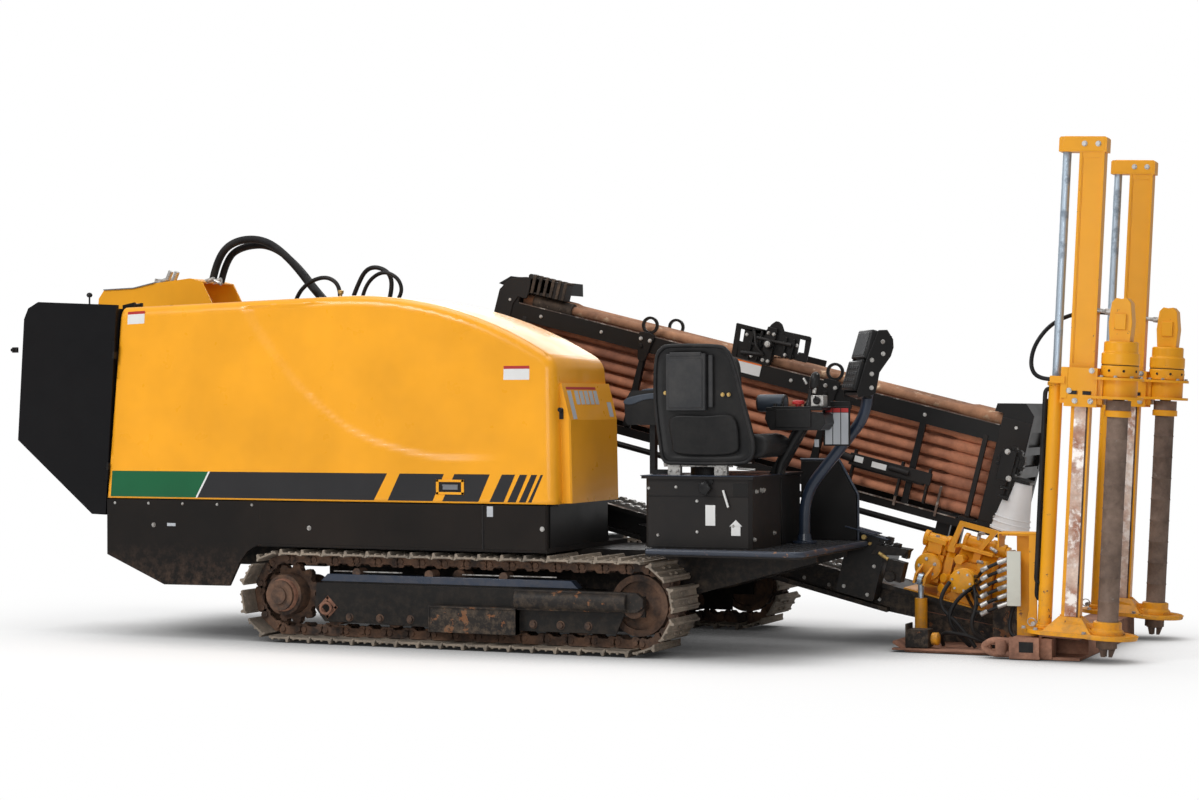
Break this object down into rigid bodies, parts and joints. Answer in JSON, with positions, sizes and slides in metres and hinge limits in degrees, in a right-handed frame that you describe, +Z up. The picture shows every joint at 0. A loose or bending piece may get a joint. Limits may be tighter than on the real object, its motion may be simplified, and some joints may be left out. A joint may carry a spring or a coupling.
{
  "type": "horizontal directional drill",
  "caption": "Tracked horizontal directional drill with a sloping thrust frame, rod box, operator's seat, engine housing, vises and a ground anchor with a mast and auger at each side.",
  "frame": {"origin": "on the ground, midway along the tracks and midway between them", "axes": "+X forwards, to the drilling end; +Y to the machine's left, where the rod box is; +Z up"},
  "size_m": [6.7973, 2.2205, 2.6809],
  "materials": {
    "auger_steel": "worn and muddy",
    "bare_steel": "worn bright",
    "black_paint": "satin, dusty",
    "black_plastic": "moulded",
    "bright_rod": "polished",
    "clear_plastic": "translucent, scuffed",
    "engine_iron": "painted, dusty",
    "hose_rubber": "black hydraulic hose",
    "pale_paint": "dull",
    "rod_steel": "light rust",
    "seat_vinyl": "black, padded",
    "skid_steel": "rusty",
    "track_steel": "worn, with dried soil",
    "yellow_paint": "semi-gloss, scuffed at the working end"
  },
  "bodies": {
    "machine": {"bulkhead": "black_paint", "chassis": "black_paint", "display": "black_plastic", "engine": "engine_iron", "foot_guard": "black_paint", "front_skirt": "black_paint", "idlers": "track_steel", "left_armrest": "black_plastic", "platform": "black_paint", "rear_cooler": "black_paint", "right_armrest": "black_plastic", "rollers": "track_steel", "seat_back": "seat_vinyl", "seat_base": "black_paint", "seat_cushion": "seat_vinyl", "seat_shell": "black_plastic", "side_skirt": "black_paint", "sprockets": "track_steel", "track_frames": "black_paint", "tracks": "track_steel"},
    "thrust_frame": {"rack_frame": "black_paint", "gear_racks": "bare_steel", "rod_box": "black_paint", "drill_rods": "rod_steel", "lifting_rings": "black_paint", "rod_clamp": "black_paint", "shuttle_guide": "black_paint", "front_vise": "yellow_paint", "anchor_base": "skid_steel", "right_anchor_posts": "yellow_paint", "left_anchor_posts": "yellow_paint", "tilt_bracket": "black_paint", "lube_box": "black_paint", "compound_pail": "clear_plastic", "pail_bracket": "black_paint", "hose_bracket": "yellow_paint", "hose_plate": "pale_paint"},
    "hood": {"hood": "yellow_paint", "hood_front_panel": "yellow_paint"},
    "rear_door": {"rear_door": "black_paint"},
    "shuttle": {"shuttle": "black_paint"},
    "carriage": {"carriage": "yellow_paint", "carriage_grate": "bare_steel", "carriage_hose": "hose_rubber", "loop_hose": "hose_rubber"},
    "torque_barrel": {"torque_barrel": "yellow_paint"},
    "torque_rod": {"torque_rod": "bright_rod"},
    "spindle": {"spindle": "bare_steel"},
    "break_out_vise": {"rear_vise": "yellow_paint"},
    "right_mast": {"right_mast": "yellow_paint", "right_feed_rod": "bright_rod", "right_auger_drive": "yellow_paint", "mast_hose": "hose_rubber"},
    "left_mast": {"left_mast": "yellow_paint", "left_feed_rod": "bright_rod", "left_auger_drive": "yellow_paint"},
    "right_auger": {"right_auger": "auger_steel"},
    "left_auger": {"left_auger": "auger_steel"},
    "tilt_barrel": {"tilt_barrel": "black_paint"},
    "tilt_rod": {"tilt_rod": "bright_rod"}
  },
  "joints": [
    {"name": "rack_tilt", "type": "hinge", "parent": "machine", "child": "thrust_frame", "pos_m": [-1.6, 0.41, 0.985], "axis": [0, -1, 0], "range_deg": [0, 5]},
    {"name": "tilt_barrel_swing", "type": "hinge", "parent": "machine", "child": "tilt_barrel", "pos_m": [0.7, 0.146, 0.2], "axis": [0, 1, 0], "range_deg": [-0.2, 3.2]},
    {"name": "tilt_rod_slide", "type": "slide", "parent": "tilt_barrel", "child": "tilt_rod", "axis": [0, 0, 1], "range_m": [0, 0.2047]},
    {"name": "carriage_slide", "type": "slide", "parent": "thrust_frame", "child": "carriage", "axis": [0.9703, 0, -0.2419], "range_m": [0, 3.08]},
    {"name": "spindle_spin", "type": "hinge", "parent": "carriage", "child": "spindle", "pos_m": [-1.26391, 0.41, 1.31572], "axis": [0.9703, 0, -0.2419], "continuous": true},
    {"name": "shuttle_slide", "type": "slide", "parent": "thrust_frame", "child": "shuttle", "axis": [0, 1, 0], "range_m": [-0.285, 0]},
    {"name": "vise_turn", "type": "hinge", "parent": "thrust_frame", "child": "break_out_vise", "pos_m": [2.44262, 0.41, 0.39158], "axis": [-0.9703, 0, 0.2419], "range_deg": [0, 28]},
    {"name": "torque_barrel_swing", "type": "hinge", "parent": "thrust_frame", "child": "torque_barrel", "pos_m": [2.29154, 0.15, 0.058], "axis": [0, 1, 0], "range_deg": [-0.2, 4.5]},
    {"name": "torque_rod_slide", "type": "slide", "parent": "torque_barrel", "child": "torque_rod", "axis": [0, 0, 1], "range_m": [0, 0.1287]},
    {"name": "right_mast_slide", "type": "slide", "parent": "thrust_frame", "child": "right_mast", "axis": [-0.0523, 0, -0.9986], "range_m": [0, 0.95]},
    {"name": "left_mast_slide", "type": "slide", "parent": "thrust_frame", "child": "left_mast", "axis": [-0.0523, 0, -0.9986], "range_m": [0, 0.95]},
    {"name": "right_auger_spin", "type": "hinge", "parent": "right_mast", "child": "right_auger", "pos_m": [3.43962, -0.2345, 1.30446], "axis": [0.0523, 0, 0.9986], "continuous": true},
    {"name": "left_auger_spin", "type": "hinge", "parent": "left_mast", "child": "left_auger", "pos_m": [3.43962, 1.0545, 1.30446], "axis": [0.0523, 0, 0.9986], "continuous": true},
    {"name": "hood_swing", "type": "hinge", "parent": "machine", "child": "hood", "pos_m": [-2.133, -0.61, 1.906], "axis": [0, -1, 0], "range_deg": [0, 50]},
    {"name": "rear_door_swing", "type": "hinge", "parent": "machine", "child": "rear_door", "pos_m": [-2.21, -1.009, 0.692], "axis": [0.0645, 0, 0.9979], "range_deg": [0, 100]}
  ],
  "couplings": [
    {"joint": "tilt_rod_slide", "follows": "rack_tilt", "m_per_rad": 2.3232},
    {"joint": "tilt_barrel_swing", "follows": "rack_tilt", "ratio": 0.56241},
    {"joint": "torque_rod_slide", "follows": "vise_turn", "m_per_rad": 0.25932},
    {"joint": "torque_barrel_swing", "follows": "vise_turn", "ratio": 0.1481}
  ]
}
